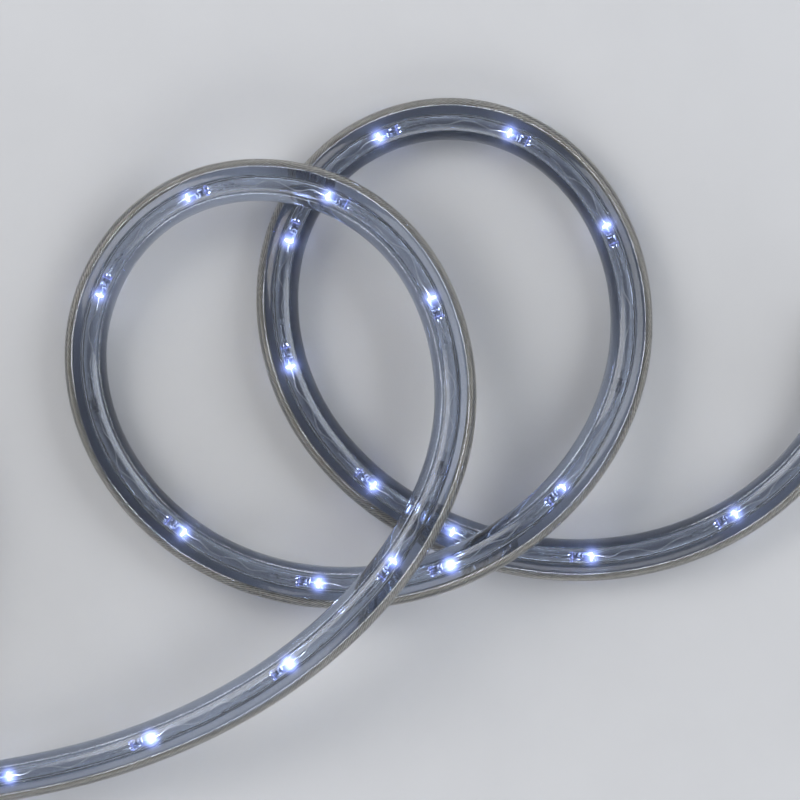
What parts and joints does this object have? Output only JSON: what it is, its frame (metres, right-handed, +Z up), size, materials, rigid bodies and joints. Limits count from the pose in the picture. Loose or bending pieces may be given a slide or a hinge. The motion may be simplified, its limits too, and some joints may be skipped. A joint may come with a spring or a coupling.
{
  "type": "led rope light",
  "caption": "Clear round rope light with lengthwise LEDs in its bore and stranded feed conductors beside it, laid in loose loops, the spare in a flat tied coil.",
  "frame": {"origin": "middle of the box on the plane that the rope lies on", "axes": "+Z up; +X from the spare coil towards the feed end, along the longest side of the box"},
  "size_m": [0.4901, 0.2314, 0.0337],
  "materials": {
    "clear_plastic": "clear flexible PVC, glossy",
    "tinned_strand": "twisted tinned copper strand",
    "led_epoxy": "water clear epoxy",
    "lead_wire": "tinned wire",
    "black_plastic": "moulded, fine matt",
    "plated_pin": "nickel plated"
  },
  "bodies": {
    "root": {"sheath": "clear_plastic", "conductor_upper": "tinned_strand", "conductor_lower": "tinned_strand", "spare_coil": "clear_plastic", "coil_tie_1": "black_plastic", "coil_tie_2": "black_plastic", "end_cap": "clear_plastic", "inlet_body": "black_plastic", "inlet_pin_1": "plated_pin", "inlet_pin_2": "plated_pin", "led_01": "led_epoxy", "led_02": "led_epoxy", "led_03": "led_epoxy", "led_04": "led_epoxy", "led_05": "led_epoxy", "led_06": "led_epoxy", "led_07": "led_epoxy", "led_08": "led_epoxy", "led_09": "led_epoxy", "led_10": "led_epoxy", "led_11": "led_epoxy", "led_12": "led_epoxy", "led_13": "led_epoxy", "led_14": "led_epoxy", "led_15": "led_epoxy", "led_16": "led_epoxy", "led_17": "led_epoxy", "led_18": "led_epoxy", "led_19": "led_epoxy", "led_20": "led_epoxy", "led_21": "led_epoxy", "led_22": "led_epoxy", "led_23": "led_epoxy", "led_24": "led_epoxy", "link_wire_01": "lead_wire", "link_wire_02": "lead_wire", "link_wire_03": "lead_wire", "link_wire_04": "lead_wire", "link_wire_05": "lead_wire", "link_wire_06": "lead_wire", "link_wire_07": "lead_wire", "link_wire_08": "lead_wire", "link_wire_09": "lead_wire", "link_wire_10": "lead_wire", "link_wire_11": "lead_wire", "link_wire_12": "lead_wire", "link_wire_13": "lead_wire", "link_wire_14": "lead_wire", "link_wire_15": "lead_wire", "link_wire_16": "lead_wire", "link_wire_17": "lead_wire", "link_wire_18": "lead_wire", "link_wire_19": "lead_wire", "link_wire_20": "lead_wire", "link_wire_21": "lead_wire", "link_wire_22": "lead_wire", "link_wire_23": "lead_wire"}
  },
  "joints": []
}
